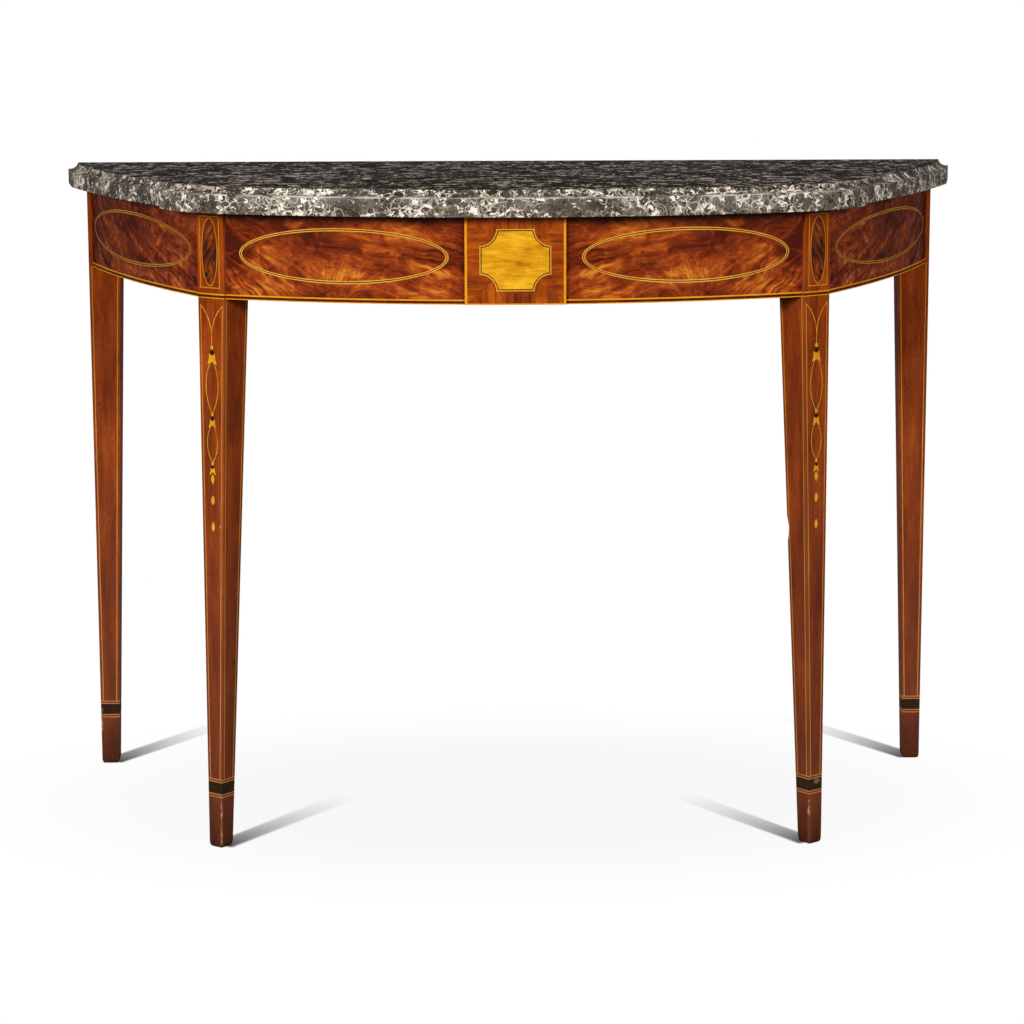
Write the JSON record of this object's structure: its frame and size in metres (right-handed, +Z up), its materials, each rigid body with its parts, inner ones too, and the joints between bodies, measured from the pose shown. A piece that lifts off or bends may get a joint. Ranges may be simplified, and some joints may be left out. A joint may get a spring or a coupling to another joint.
{
  "type": "pier table",
  "caption": "Half-round pier table with a moulded grey fossil-marble top on an inlaid mahogany frieze and square tapering legs.",
  "frame": {"origin": "on the floor under the middle of the marble top's bounding box", "axes": "+X to the table's right as seen from the front, +Y to the wall behind it, +Z up"},
  "size_m": [1.27, 0.631, 0.8795],
  "materials": {
    "fossil_marble": "polished dark grey fossil marble with pale flecks",
    "mahogany": "straight-grained mahogany under a polished finish",
    "flame_mahogany": "flame-figured mahogany veneer under a polished finish",
    "crossbanded_mahogany": "crossbanded mahogany veneer under a polished finish",
    "boxwood": "golden boxwood stringing under a polished finish",
    "ebony": "ebonised wood under a polished finish",
    "satinwood": "golden satinwood veneer under a polished finish",
    "pine": "unfinished pine, darkened with age"
  },
  "bodies": {
    "frame": {"back_rail": "pine", "banding_dark_left": "ebony", "banding_dark_right": "ebony", "banding_light_left": "boxwood", "banding_light_right": "boxwood", "cross_brace_left": "pine", "cross_brace_right": "pine", "cuff_band_front_left": "ebony", "cuff_band_front_right": "ebony", "cuff_band_rear_left": "ebony", "cuff_band_rear_right": "ebony", "cuff_strings_front_left": "boxwood", "cuff_strings_front_right": "boxwood", "cuff_strings_rear_left": "boxwood", "cuff_strings_rear_right": "boxwood", "front_rail": "pine", "glue_blocks_left": "pine", "glue_blocks_right": "pine", "leg_calyxes_left": "ebony", "leg_calyxes_right": "ebony", "leg_front_left": "mahogany", "leg_front_right": "mahogany", "leg_husks_left": "boxwood", "leg_husks_right": "boxwood", "leg_rear_left": "mahogany", "leg_rear_right": "mahogany", "leg_strings_front_left": "boxwood", "leg_strings_front_right": "boxwood", "leg_strings_rear_left": "boxwood", "leg_strings_rear_right": "boxwood", "oval_line_front_left": "ebony", "oval_line_front_right": "ebony", "oval_line_side_left": "ebony", "oval_line_side_right": "ebony", "oval_panel_front_left": "flame_mahogany", "oval_panel_front_right": "flame_mahogany", "oval_panel_side_left": "flame_mahogany", "oval_panel_side_right": "flame_mahogany", "oval_string_front_left": "boxwood", "oval_string_front_right": "boxwood", "oval_string_side_left": "boxwood", "oval_string_side_right": "boxwood", "side_rail_left": "pine", "side_rail_right": "pine", "stile_oval_left": "flame_mahogany", "stile_oval_right": "flame_mahogany", "stile_string_left": "boxwood", "stile_string_right": "boxwood", "tablet_block": "pine", "tablet_border": "boxwood", "tablet_crossband_level": "crossbanded_mahogany", "tablet_crossband_upright": "crossbanded_mahogany", "tablet_dark_string": "ebony", "tablet_light_string": "boxwood", "tablet_panel": "satinwood", "veneer_front_left": "flame_mahogany", "veneer_front_right": "flame_mahogany", "veneer_side_left": "flame_mahogany", "veneer_side_right": "flame_mahogany"},
    "marble_top": {"marble_top": "fossil_marble"}
  },
  "joints": [
    {"name": "top_lift", "type": "slide", "parent": "frame", "child": "marble_top", "axis": [0, 0, 1], "range_m": [0, 0.08]}
  ]
}
